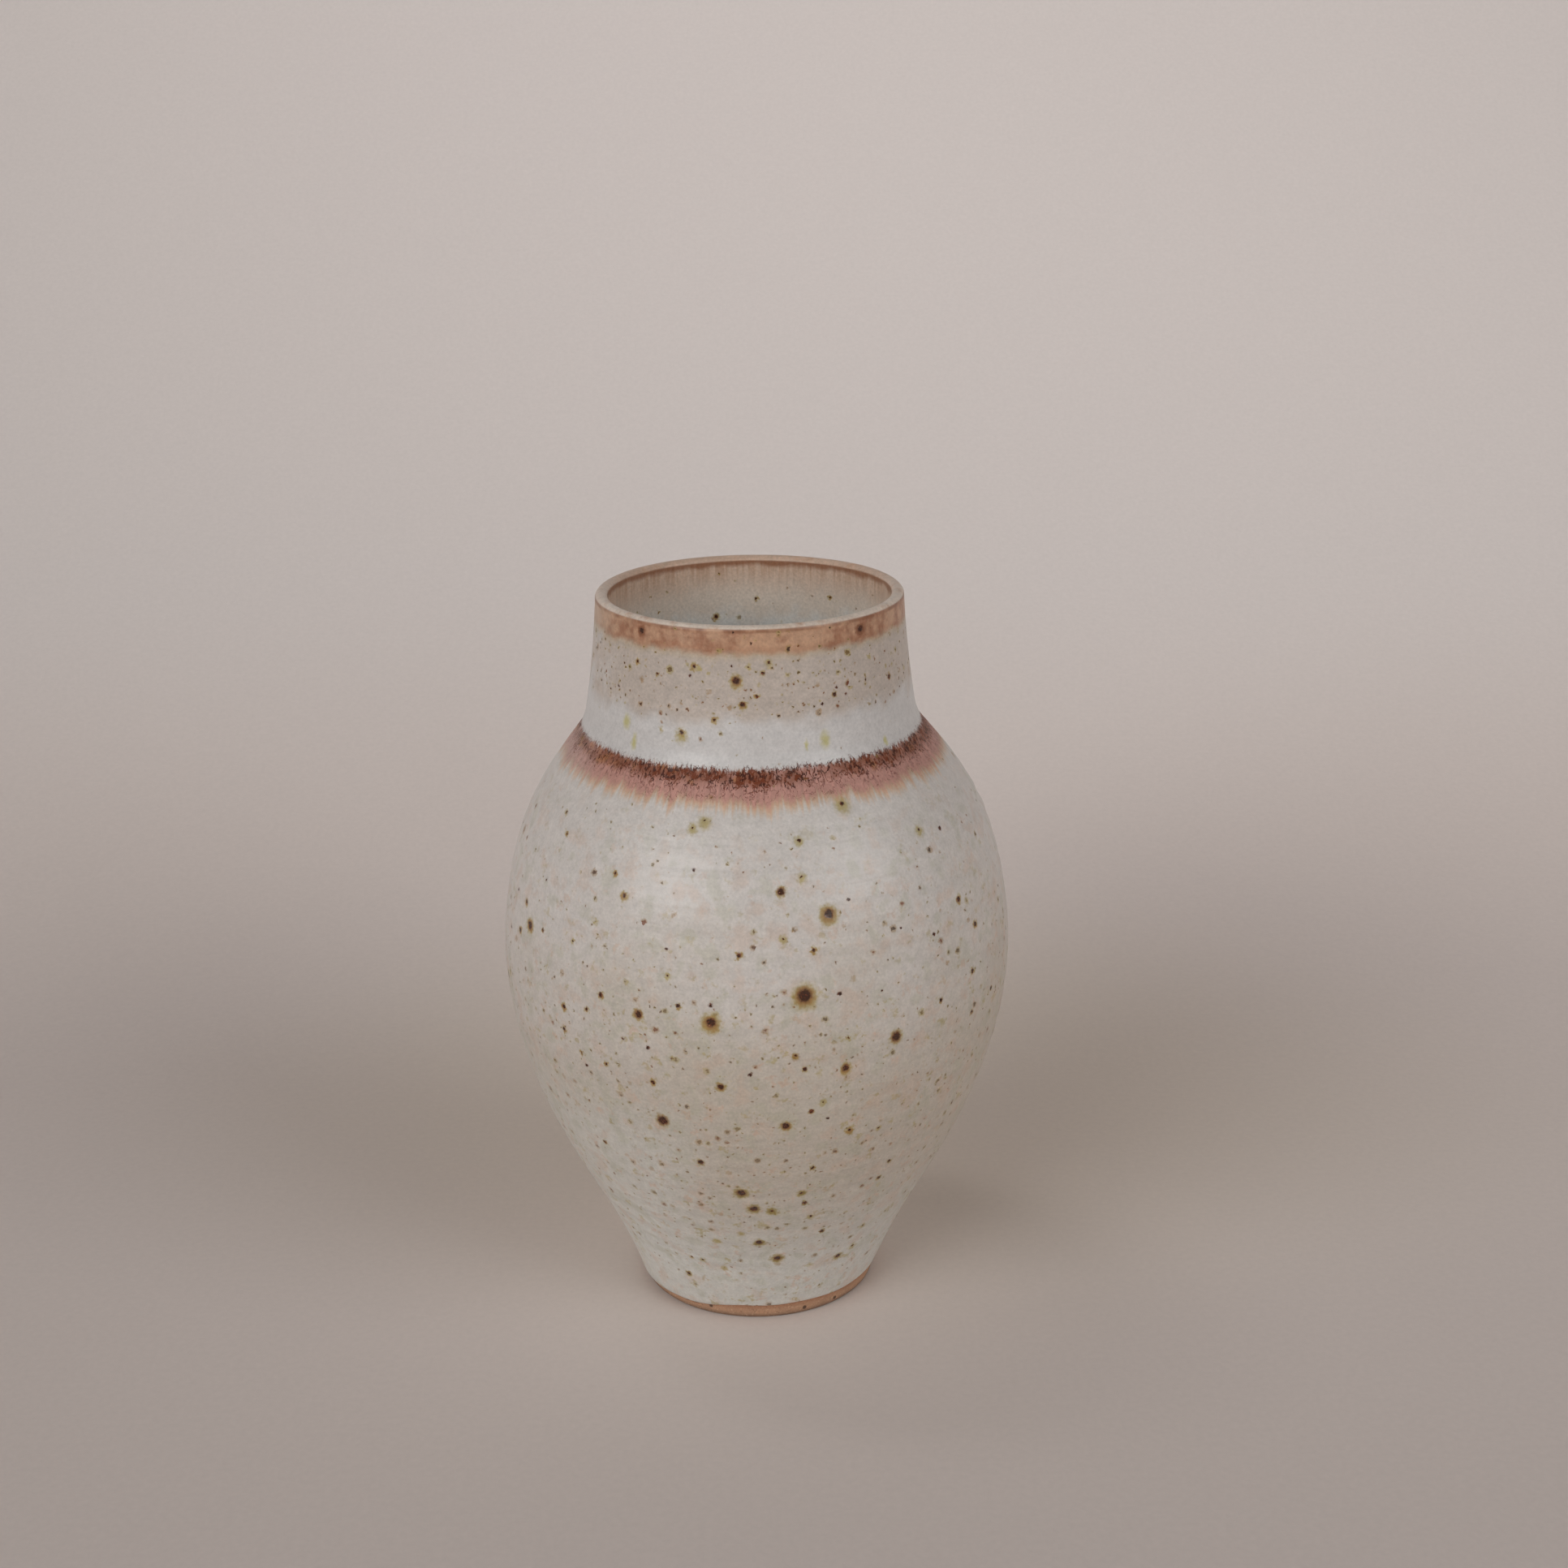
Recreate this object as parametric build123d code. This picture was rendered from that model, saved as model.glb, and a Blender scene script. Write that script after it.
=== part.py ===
from build123d import *
from math import hypot, sqrt
import os

# Small thrown stoneware bud vase: one fired clay body and the glaze coats fused to it.
# Millimetres, +Z up, origin at the centre of the foot on the table.
os.makedirs("parts", exist_ok=True)

# Driving dimensions
HEIGHT = 120.0
FOOT_R = 19.6        # bare clay foot
BELLY_R = 41.5       # widest point
BELLY_Z = 60.0
NECK_BASE_R = 26.75  # sharp turn where the shoulder meets the neck
NECK_BASE_Z = 99.0
RIM_R = 24.4
LIP_W = 2.0
LIP_CROWN = 0.7
GLAZE = 0.4          # outside coats
LINER = 0.35         # inside coat
FLOOR_Z = 7.0        # inside floor, on the axis
FOOT_LINE_Z = 2.4    # lower edge of the belly glaze
FOOT_ROUND = 0.7     # both edges of the foot ring
RING_W = 5.5
RECESS_Z = 1.6       # shallow trimmed hollow under the foot

# Heights at which one coat gives way to the next
BAND_LOW_Z = 93.3
BAND_TOP_Z = 98.8
COLLAR_TOP_Z = 106.0
RIM_BAND_Z = 115.8

ARC_MID = 1 - sqrt(0.5)  # how far in a quarter circle's middle lies
LIP_Z = HEIGHT - LIP_CROWN
MID_LIP_R = RIM_R - LIP_W / 2
BORE_R = RIM_R - LIP_W

# Outside surface of the glaze, as (radius, height), from the foot up
BELLY = [
    (FOOT_R + 0.7, FOOT_LINE_Z), (24.4, 12.0), (30.7, 24.0), (36.3, 36.0), (40.0, 48.0),
    (BELLY_R, BELLY_Z), (40.4, 72.0), (36.9, 84.0), (32.2, 92.0), (27.9, 97.6),
]
NECK = [
    (26.4, 100.8), (25.7, 105.5), (25.05, 111.0), (24.6, 116.0), (RIM_R, LIP_Z),
]
TURN = (NECK_BASE_R, NECK_BASE_Z)

# Inside surface of the liner glaze, from the lip down to the floor
BORE = [
    (BORE_R, LIP_Z), (22.5, 111.0), (22.8, 104.0), (24.0, 98.5), (28.1, 92.0), (33.0, 83.5),
    (36.6, 72.5), (37.9, 60.5), (36.7, 50.0), (32.7, 38.0), (26.9, 26.5), (21.3, 17.0),
    (15.3, 10.3), (7.5, 7.4), (0.0, FLOOR_Z),
]


def inset(points, depth):
    """The same points moved to the left of the line they follow, square to the wall."""
    moved = []
    last = len(points) - 1
    for i, (r, z) in enumerate(points):
        r0, z0 = points[max(i - 1, 0)]
        r1, z1 = points[min(i + 1, last)]
        run = hypot(r1 - r0, z1 - z0)
        moved.append((r - depth * (z1 - z0) / run, z + depth * (r1 - r0) / run))
    return moved


def turned(edges):
    """A closed half section turned once around the axis."""
    return revolve(Plane.XZ * make_face(edges), Axis.Z)


# Outside coat surface and the clay surface under it
belly_out = Spline(*BELLY)
turn_out = Bezier(BELLY[-1], TURN, NECK[0])
neck_out = Spline(*NECK)
belly_under = inset(BELLY, GLAZE)
neck_under = inset(NECK, GLAZE)
belly_clay = Spline(*belly_under)
turn_under = inset([BELLY[-1], TURN, NECK[0]], GLAZE)[1]
turn_clay = Bezier(belly_under[-1], turn_under, neck_under[0])
neck_clay = Spline(*neck_under)

# Liner surface and the clay behind it; the last clay point stays on the axis
bore_under = inset(BORE[:-1], LINER)
bore_under[0] = (BORE_R + LINER, neck_under[-1][1])
bore_under.append((0.0, FLOOR_Z - LINER))
bore_out = Spline(*BORE)
bore_clay = Spline(*bore_under)

# Rounded lip, in glaze and in clay
lip_out = ThreePointArc(NECK[-1], (MID_LIP_R, HEIGHT), BORE[0])
lip_clay = ThreePointArc(neck_under[-1], (MID_LIP_R, HEIGHT - GLAZE), bore_under[0])

# Clay body: wall, floor and a bare foot ring with a shallow hollow under it
ring_in = FOOT_R - RING_W
foot_side = Line(belly_under[0], (FOOT_R, FOOT_ROUND))
foot_edge = ThreePointArc(
    (FOOT_R, FOOT_ROUND),
    (FOOT_R - ARC_MID * FOOT_ROUND, ARC_MID * FOOT_ROUND),
    (FOOT_R - FOOT_ROUND, 0.0),
)
foot_ring = Line((FOOT_R - FOOT_ROUND, 0.0), (ring_in, 0.0))
recess_edge = ThreePointArc(
    (ring_in, 0.0),
    (ring_in - (1 - ARC_MID) * FOOT_ROUND, ARC_MID * FOOT_ROUND),
    (ring_in - FOOT_ROUND, FOOT_ROUND),
)
recess_side = Line((ring_in - FOOT_ROUND, FOOT_ROUND), (ring_in - RECESS_Z, RECESS_Z))
recess_roof = Line((ring_in - RECESS_Z, RECESS_Z), (0.0, RECESS_Z + FOOT_ROUND / 2))
clay_axis = Line((0.0, RECESS_Z + FOOT_ROUND / 2), bore_under[-1])
stoneware_body = turned([
    belly_clay, turn_clay, neck_clay, lip_clay, bore_clay, clay_axis,
    recess_roof, recess_side, recess_edge, foot_ring, foot_edge, foot_side,
])

# Liner glaze over the whole inside, up to the inner edge of the lip
lip_seam = Line(BORE[0], bore_under[0])
liner_glaze = turned([
    bore_out, Line(BORE[-1], bore_under[-1]), bore_clay, lip_seam,
])

# Outside coats: one skin, cut level into its zones
foot_seam = Line(BELLY[0], belly_under[0])
skin = make_face([
    belly_out, turn_out, neck_out, lip_out, lip_seam, lip_clay, neck_clay, turn_clay,
    belly_clay, foot_seam,
])


def coat(low, high):
    """The part of the skin between two heights, turned around the axis."""
    zone = Pos(0, (low + high) / 2) * Rectangle(4 * BELLY_R, high - low)
    return revolve(Plane.XZ * (skin & zone), Axis.Z)


parts = {
    "stoneware_body": stoneware_body,
    "liner_glaze": liner_glaze,
    "belly_glaze": coat(0.0, BAND_LOW_Z),
    "shoulder_glaze": coat(BAND_LOW_Z, BAND_TOP_Z),
    "collar_glaze": coat(BAND_TOP_Z, COLLAR_TOP_Z),
    "neck_glaze": coat(COLLAR_TOP_Z, RIM_BAND_Z),
    "rim_glaze": coat(RIM_BAND_Z, HEIGHT + LIP_W),
}
for name, shape in parts.items():
    solid = shape.solids()[0]
    print(name, len(shape.solids()), round(solid.volume, 1), solid.is_valid)
    export_step(solid, f"parts/{name}.step")
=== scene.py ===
import math

import bpy
import numpy as np
from mathutils import Matrix, Vector


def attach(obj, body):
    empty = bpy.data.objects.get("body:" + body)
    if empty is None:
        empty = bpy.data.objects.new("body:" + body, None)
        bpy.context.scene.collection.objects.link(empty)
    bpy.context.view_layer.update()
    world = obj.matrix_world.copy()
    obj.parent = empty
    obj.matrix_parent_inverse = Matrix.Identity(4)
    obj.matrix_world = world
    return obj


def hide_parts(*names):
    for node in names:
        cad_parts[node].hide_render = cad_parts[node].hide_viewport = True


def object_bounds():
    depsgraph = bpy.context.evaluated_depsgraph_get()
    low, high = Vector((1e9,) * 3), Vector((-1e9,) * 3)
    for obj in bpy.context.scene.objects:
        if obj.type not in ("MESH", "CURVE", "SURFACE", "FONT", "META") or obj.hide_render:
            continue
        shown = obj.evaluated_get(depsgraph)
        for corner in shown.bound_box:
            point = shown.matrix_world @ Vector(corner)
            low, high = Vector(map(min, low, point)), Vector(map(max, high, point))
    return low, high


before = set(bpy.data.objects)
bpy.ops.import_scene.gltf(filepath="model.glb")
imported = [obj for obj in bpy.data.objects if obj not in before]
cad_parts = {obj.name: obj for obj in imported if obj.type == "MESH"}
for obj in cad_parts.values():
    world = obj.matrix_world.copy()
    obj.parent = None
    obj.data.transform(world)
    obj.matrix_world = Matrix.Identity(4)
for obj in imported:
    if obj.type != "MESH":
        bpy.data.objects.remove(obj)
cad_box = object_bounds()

# A hand-thrown stoneware bud vase. Lengths in this script are millimetres in the frame's axes:
# +Z up, -Y towards the camera. MM turns them into the scene's metres.
MM = 0.001
HEIGHT = (cad_box[1][2] - cad_box[0][2]) / MM
SEED = 11

LIP = 119.3          # where the rounding of the lip starts

# Outline of the glazed outside, (radius, height), as in the CAD: foot to shoulder, then the neck
BELLY = [
    (20.3, 2.4), (24.4, 12.0), (30.7, 24.0), (36.3, 36.0), (40.0, 48.0),
    (41.5, 60.0), (40.4, 72.0), (36.9, 84.0), (32.2, 92.0), (27.9, 97.6),
]
TURN = (26.75, 99.0)   # where the lines of the shoulder and the neck would meet
NECK = [(26.4, 100.8), (25.7, 105.5), (25.05, 111.0), (24.6, 116.0), (24.4, LIP)]
# Inside, from the lip down to the middle of the floor
BORE = [
    (22.4, LIP), (22.5, 111.0), (22.8, 104.0), (24.0, 98.5), (28.1, 92.0), (33.0, 83.5),
    (36.6, 72.5), (37.9, 60.5), (36.7, 50.0), (32.7, 38.0), (26.9, 26.5), (21.3, 17.0),
    (15.3, 10.3), (7.5, 7.4), (0.0, 7.0),
]
GLAZE = 0.4          # thickness of the coats outside and inside
LINER = 0.35
FOOT_R = 19.6        # outside of the bare foot
FOOT_ROUND = 0.7     # rounding of the foot's corners
RING_W = 5.5         # width of the ring it stands on
RECESS_Z = 1.6       # depth of the hollow inside the ring
RECESS_DOME = 0.35   # how much deeper the hollow is in the middle
FOOT_TOP = 1.2       # the outline of the bare clay ends here, behind the edge of the glaze
# Where one coat ends and the next starts
BAND_LOW = 93.3
BAND_TOP = 98.8
COLLAR_TOP = 106.0
RIM_BAND = 115.8
TURNS = 512          # steps around the vase
# How far the thrown vase strays from a turned one
OVAL = 0.12          # the belly is out of round
LOBES = 0.06         # and has three low lobes
LEAN = 0.5           # to the right, over 100 mm
BOW = 0.2            # to the right, half way up
NECK_LEFT = 0.4      # the neck is set off to the left
NECK_BACK = 0.15     # and back
MOUTH_TILT = 0.12    # the mouth is higher at the back
FOOT_DIP = 0.85      # the glaze comes down lower on the left of the foot
FOOT_LIFT = 0.25     # and stops higher on the right
RIDGE = 0.05         # throwing ridges outside and inside
RIDGE_INSIDE = 0.07


# ---------------------------------------------------------------- outlines

def cubic_through(points, steps):
    """A smooth line through the points, evenly divided, as an array of (radius, height)."""
    p = np.array(points, float)
    t = np.concatenate([[0], np.cumsum(np.hypot(*np.diff(p, axis=0).T))])
    h = np.diff(t)
    n = len(p)
    a = np.eye(n)
    rhs = np.zeros((n, 2))
    for i in range(1, n - 1):
        a[i, i - 1], a[i, i], a[i, i + 1] = h[i - 1], 2 * (h[i - 1] + h[i]), h[i]
        rhs[i] = 6 * ((p[i + 1] - p[i]) / h[i] - (p[i] - p[i - 1]) / h[i - 1])
    m = np.linalg.solve(a, rhs)
    u = np.linspace(0, t[-1], steps)
    k = np.clip(np.searchsorted(t, u) - 1, 0, n - 2)
    d0, d1, w = (t[k + 1] - u)[:, None], (u - t[k])[:, None], h[k][:, None]
    return (
        m[k] * d0 ** 3 / (6 * w) + m[k + 1] * d1 ** 3 / (6 * w)
        + (p[k] / w - m[k] * w / 6) * d0 + (p[k + 1] / w - m[k + 1] * w / 6) * d1
    )


def bend(a, b, c, steps):
    """A curve from a to c that leaves and arrives along the lines to b."""
    t = np.linspace(0, 1, steps)[:, None]
    a, b, c = np.array(a), np.array(b), np.array(c)
    return (1 - t) ** 2 * a + 2 * t * (1 - t) * b + t ** 2 * c


def arc_over(a, top, c, steps):
    """A flat circular arc from a to c, level with each other, that rises to a height of top."""
    a, c = np.array(a), np.array(c)
    half = (a[0] - c[0]) / 2
    crown = top - a[1]
    radius = (half ** 2 + crown ** 2) / (2 * crown)
    reach = math.asin(half / radius)
    t = np.linspace(reach, -reach, steps)
    middle = np.array([(a[0] + c[0]) / 2, top - radius])
    return middle + radius * np.stack([np.sin(t), np.cos(t)], 1)


def length_along(line):
    """Distance along a line at each of its points."""
    return np.concatenate([[0], np.cumsum(np.hypot(*np.diff(line, axis=0).T))])


def resample(line, spacing):
    """The line again, divided so that each step is about spacing(height) long."""
    s = length_along(line)
    density = 1 / np.array([spacing(z) for _, z in line])
    count = np.concatenate([[0], np.cumsum((density[1:] + density[:-1]) / 2 * np.diff(s))])
    steps = int(math.ceil(count[-1]))
    at = np.interp(np.linspace(0, count[-1], steps + 1), count, s)
    return np.stack([np.interp(at, s, line[:, 0]), np.interp(at, s, line[:, 1])], 1)


def outside_line():
    """The glazed outside from the foot over the shoulder and up the neck to the inside of the lip."""
    belly = cubic_through(BELLY, 1200)
    neck = cubic_through(NECK, 400)
    turn = bend(BELLY[-1], TURN, NECK[0], 80)
    lip = arc_over(NECK[-1], HEIGHT, BORE[0], 80)
    return np.concatenate([belly, turn[1:], neck[1:], lip[1:]])


def foot_line():
    """The bare clay, (radius, height): under the foot, round the ring and up to the glaze."""
    ring_in = FOOT_R - RING_W
    corners = [
        (0.5, RECESS_Z + RECESS_DOME - 0.01), (6.0, RECESS_Z + 0.2), (ring_in - RECESS_Z, RECESS_Z),
        (ring_in - FOOT_ROUND, FOOT_ROUND), (ring_in - 0.2, 0.2), (ring_in + 0.4, 0.0),
        (FOOT_R - FOOT_ROUND, 0.0), (FOOT_R - 0.2, 0.2), (FOOT_R, FOOT_ROUND),
        (FOOT_R + 0.1, FOOT_TOP),
    ]
    return resample(np.array(corners, float), lambda z: 0.3)


def smoothstep(x, low, high):
    """0 below low and 1 above high, with a smooth rise between."""
    t = np.clip((x - low) / (high - low), 0, 1)
    return t * t * (3 - 2 * t)


# ---------------------------------------------------------------- camera and light

CAMERA_BACK = 362.5
CAMERA_UP = 206.9
CAMERA_PITCH = math.radians(18.27)   # down
CAMERA_YAW = math.radians(0.84)      # to the right
CAMERA_ROLL = math.radians(-0.7)
CAMERA_LENS = 53.8
CAMERA_FRAME = 36


def add_camera():
    """In front of the vase and above it, close enough to look into the mouth."""
    data = bpy.data.cameras.new("camera")
    data.lens = CAMERA_LENS
    data.sensor_width = CAMERA_FRAME
    data.clip_start = 0.01
    camera = bpy.data.objects.new("camera", data)
    bpy.context.scene.collection.objects.link(camera)
    cp, sp = math.cos(CAMERA_PITCH), math.sin(CAMERA_PITCH)
    cy, sy = math.cos(CAMERA_YAW), math.sin(CAMERA_YAW)
    ahead = Vector((sy * cp, cy * cp, -sp))
    right = Vector((cy, -sy, 0))
    up = right.cross(ahead)
    cr, sr = math.cos(CAMERA_ROLL), math.sin(CAMERA_ROLL)
    right, up = right * cr + up * sr, up * cr - right * sr
    place = Matrix((right, up, -ahead)).transposed().to_4x4()
    place.translation = Vector((0, -CAMERA_BACK, CAMERA_UP)) * MM
    camera.matrix_world = place
    bpy.context.scene.camera = camera


def add_area(name, place, target, size, power, colour):
    """A rectangular light at a place, facing a target, with places and sizes in metres."""
    data = bpy.data.lights.new(name, "AREA")
    data.shape = "RECTANGLE"
    data.size, data.size_y = size
    data.energy = power
    data.color = colour
    light = bpy.data.objects.new(name, data)
    bpy.context.scene.collection.objects.link(light)
    light.location = place
    light.rotation_euler = (Vector(target) - Vector(place)).to_track_quat("-Z", "Y").to_euler()
    return light


add_camera()
bpy.context.scene.view_settings.view_transform = "Standard"


# ---------------------------------------------------------------- the thrown surface

THETA = np.arange(TURNS) * (2 * math.pi / TURNS)


def zone_steps():
    """The visible surface as one line, from the foot over the lip to the inside floor, and the
    rows of it that each coat covers."""
    outside = outside_line()
    crest = int(np.argmax(outside[:, 1]))
    cuts = [0]
    for height in (BAND_LOW, BAND_TOP, COLLAR_TOP, RIM_BAND):
        cuts.append(int(np.searchsorted(outside[:crest, 1], height)))
    cuts.append(len(outside) - 1)
    spacing = {
        "belly_glaze": lambda z: 0.18 + 0.5 * smoothstep(z, 2.4, 7.0),
        "shoulder_glaze": lambda z: 0.2,
        "collar_glaze": lambda z: 0.28,
        "neck_glaze": lambda z: 0.36,
        "rim_glaze": lambda z: 0.16,
        "liner_glaze": lambda z: 0.25 + 1.15 * smoothstep(LIP - z, 2.0, 20.0),
    }
    rows, zones = [outside[:1]], {}
    for name, a, b in zip(spacing, cuts[:-1], cuts[1:]):
        part = resample(outside[a:b + 1], spacing[name])
        first = sum(len(p) for p in rows) - 1
        rows.append(part[1:])
        zones[name] = (first, first + len(part) - 1)
    inside = resample(cubic_through(BORE, 1600), spacing["liner_glaze"])
    inside = inside[inside[:, 0] > 0.4]
    first = sum(len(p) for p in rows) - 1
    rows.append(inside[1:])
    zones["liner_glaze"] = (first, first + len(inside) - 1)
    return np.concatenate(rows), zones


def line_normals(line):
    """Unit normals that point out of the material, for a line with the material on its left."""
    t = np.gradient(line, axis=0)
    n = np.stack([t[:, 1], -t[:, 0]], 1)
    return n / np.linalg.norm(n, axis=1)[:, None]


def wander(z, theta):
    """How far the wall strays from a true circle, in and out."""
    rise = smoothstep(z, 0, 60)
    return rise * (OVAL * np.cos(2 * theta + 0.7) + LOBES * np.cos(3 * theta - 1.2))


def lean(z):
    """Sideways place of the vase's middle at each height."""
    x = LEAN * z / 100 + BOW * np.sin(math.pi * np.clip(z / 100, 0, 1))
    return x - NECK_LEFT * smoothstep(z, 87, 103), NECK_BACK * smoothstep(z, 60, 115)


def put(line, normals, relief):
    """Points of rows x turns in metres, for a line, its normals and the relief along them."""
    r = line[:, :1] + relief * normals[:, :1]
    z = line[:, 1:] + relief * normals[:, 1:]
    theta = THETA[None, :]
    r = r + wander(z, theta)
    z = z + MOUTH_TILT * np.sin(theta) * smoothstep(z, 104, 119)
    x, y = lean(z)
    return np.stack([r * np.cos(theta) + x, r * np.sin(theta) + y, z], -1) * MM


def grid_normals(points):
    """Unit normals of rows x turns of points."""
    along = np.gradient(points, axis=0)
    around = np.roll(points, -1, axis=1) - np.roll(points, 1, axis=1)
    n = np.cross(around, along)
    return n / np.maximum(np.linalg.norm(n, axis=2, keepdims=True), 1e-12)


def lathe(name, segments, start=None, end=None):
    """A closed mesh from rows around the axis. Segments are (points, normals), each smooth in
    itself and joined to the next by a flat strip. With no start and end points the last row joins
    the first; otherwise each end closes on its point."""
    points = np.concatenate([s[0] for s in segments])
    normals = np.concatenate([s[1] for s in segments])
    rows = len(points)
    coords = points.reshape(-1, 3)
    ends = np.cumsum([len(s[0]) for s in segments])
    loop = start is None
    low = np.arange(rows if loop else rows - 1)
    high = (low + 1) % rows
    j = np.arange(TURNS)
    k = (j + 1) % TURNS
    quads = np.stack([
        low[:, None] * TURNS + j, low[:, None] * TURNS + k,
        high[:, None] * TURNS + k, high[:, None] * TURNS + j,
    ], -1).reshape(-1, 4)
    flat = np.repeat(np.isin(low, ends - 1), TURNS)
    flat_normals = np.where(flat[:, None, None], 0, normals.reshape(-1, 3)[quads])
    corners, loop_normals = [quads.reshape(-1)], [flat_normals.reshape(-1, 3)]
    totals = [np.full(len(quads), 4)]
    smooth = [~flat]
    if not loop:
        coords = np.concatenate([coords, [start, end]])
        at = rows * TURNS
        last = (rows - 1) * TURNS
        fans = [
            (np.stack([np.full(TURNS, at), k, j], -1), -1.0),
            (np.stack([np.full(TURNS, at + 1), last + j, last + k], -1), 1.0),
        ]
        for fan, up in fans:
            corners.append(fan.reshape(-1))
            loop_normals.append(np.tile([0, 0, up], (fan.size, 1)))
            totals.append(np.full(TURNS, 3))
            smooth.append(np.ones(TURNS, bool))
    corners = np.concatenate(corners)
    totals = np.concatenate(totals)
    mesh = bpy.data.meshes.new(name + "_visual")
    mesh.vertices.add(len(coords))
    mesh.vertices.foreach_set("co", coords.astype(np.float32).reshape(-1))
    mesh.loops.add(len(corners))
    mesh.loops.foreach_set("vertex_index", corners.astype(np.int32))
    mesh.polygons.add(len(totals))
    mesh.polygons.foreach_set("loop_start", (np.cumsum(totals) - totals).astype(np.int32))
    mesh.polygons.foreach_set("use_smooth", np.concatenate(smooth))
    mesh.update(calc_edges=True)
    mesh.normals_split_custom_set(np.concatenate(loop_normals).astype(np.float32))
    piece = bpy.data.objects.new(mesh.name, mesh)
    bpy.context.scene.collection.objects.link(piece)
    return piece


# ---------------------------------------------------------------- relief

RNG = np.random.default_rng(SEED)


def ripple(points, size, waves=24):
    """Smooth random relief, about -1 to 1, with features about size millimetres wide."""
    total = np.zeros(points.shape[:-1])
    for _ in range(waves):
        way = RNG.normal(size=3)
        way *= 2 * math.pi / (size * RNG.uniform(0.8, 1.6) * np.linalg.norm(way))
        total += np.sin(points @ way + RNG.uniform(0, 2 * math.pi))
    return total / math.sqrt(waves)


def outside_relief(line, zones):
    """Millimetres out from the smooth outline, for every row and turn of the visible surface."""
    z = line[:, 1:]
    s = length_along(line)[:, None]
    theta = THETA[None, :]
    points = put(line, np.zeros_like(line), np.zeros((len(line), TURNS))) / MM
    inner = np.zeros((len(line), 1))
    inner[zones["liner_glaze"][0]:] = 1
    outer = 1 - inner
    belly = smoothstep(z, 6, 16) * (1 - smoothstep(z, 86, 93)) * outer
    # finger ridges from throwing: a slow spiral, stronger in some places than others
    strength = 0.5 + 0.5 * ripple(points, 34)
    spiral = np.sin(2 * math.pi * s / 3.4 + theta)
    spiral += 0.6 * np.sin(2 * math.pi * s / 5.3 + theta + 1.0)
    relief = RIDGE * spiral * strength * belly
    spiral = np.sin(2 * math.pi * s / 4.2 + theta)
    relief += RIDGE_INSIDE * spiral * inner * smoothstep(LIP - z, 5, 20)
    relief += 0.012 * ripple(points, 7.0) + 0.006 * ripple(points, 2.6)
    # the belly glaze ends in a rounded edge above the bare foot
    edge = np.clip(s / 0.55, 0, 1)
    relief -= (GLAZE - 0.04) * (1 - np.sqrt(1 - (1 - edge) ** 2)) * outer
    # the iron band is rough, and sits a little lower than the glaze that rolls over its upper edge
    band = smoothstep(z, 94.6, 96.4) * (1 - smoothstep(z, 98.3, 98.9)) * outer
    relief += band * (0.045 * ripple(points, 0.9, 40) - 0.05)
    relief += 0.07 * np.exp(-((z - 99.9) / 1.1) ** 2) * outer
    return relief


# ---------------------------------------------------------------- pieces

def build_vase():
    """The six glaze coats, and the hidden side of each, which is where the clay's surface is."""
    line, zones = zone_steps()
    normals = line_normals(line)
    relief = outside_relief(line, zones)
    surface = put(line, normals, relief)
    shading = grid_normals(surface)
    foot_wave = 0.08 * np.sin(3 * THETA + 1.0) + 0.05 * np.sin(11 * THETA + 2.0)
    foot_wave -= FOOT_DIP * smoothstep(np.cos(THETA - math.radians(205)), 0.5, 0.95)
    foot_wave += FOOT_LIFT * smoothstep(np.cos(THETA - math.radians(310)), 0.2, 0.95)
    fade = np.exp(-length_along(line) / 2.5)[:, None]
    surface[:, :, 2] += (fade * foot_wave[None, :]) * MM
    pieces = {}
    under_all = {}
    for node, (a, b) in zones.items():
        depth = LINER if node == "liner_glaze" else GLAZE
        # the hidden side has fewer rows, but enough to follow the curve of the wall
        every = 3 if node == "liner_glaze" else 7
        picks = np.round(np.linspace(b, a, max(6, (b - a) // every))).astype(int)
        under = put(line[picks], normals[picks], np.full((len(picks), TURNS), -depth))
        if node == "belly_glaze":
            under[:, :, 2] += (fade[picks] * foot_wave[None, :]) * MM
        under_all[node] = under[::-1]
        back = (under, grid_normals(under))
        front = (surface[a:b + 1], shading[a:b + 1])
        if node == "liner_glaze":
            # its floor is closed on the axis, below and above
            ends = tuple(under[0].mean(0)), tuple(surface[b].mean(0))
            pieces[node] = lathe(node, [back, front], *ends)
        else:
            pieces[node] = lathe(node, [front, back])
    return pieces, under_all


def build_body(under_all):
    """The clay: bare foot and hidden wall, from the middle of the underside to the inside floor."""
    profile = foot_line()
    normals = line_normals(profile)
    foot = put(profile, normals, np.zeros((len(profile), TURNS)))
    # each coat's first row is the last row of the coat before
    wall = np.concatenate([rows if n == 0 else rows[1:] for n, rows in enumerate(under_all.values())])
    return lathe(
        "stoneware_body", [(foot, grid_normals(foot)), (wall, grid_normals(wall))],
        start=(0, 0, (RECESS_Z + RECESS_DOME) * MM), end=tuple(wall[-1].mean(0)),
    )


# ---------------------------------------------------------------- material nodes

def srgb(red, green, blue):
    """A colour given in 0 to 255 steps, as the shader's linear numbers."""
    line = [v / 12.92 if v <= 0.04045 else ((v + 0.055) / 1.055) ** 2.4
            for v in (red / 255, green / 255, blue / 255)]
    return (*line, 1.0)


FAR = 9.0            # from the nearest spot, where there is none


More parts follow.
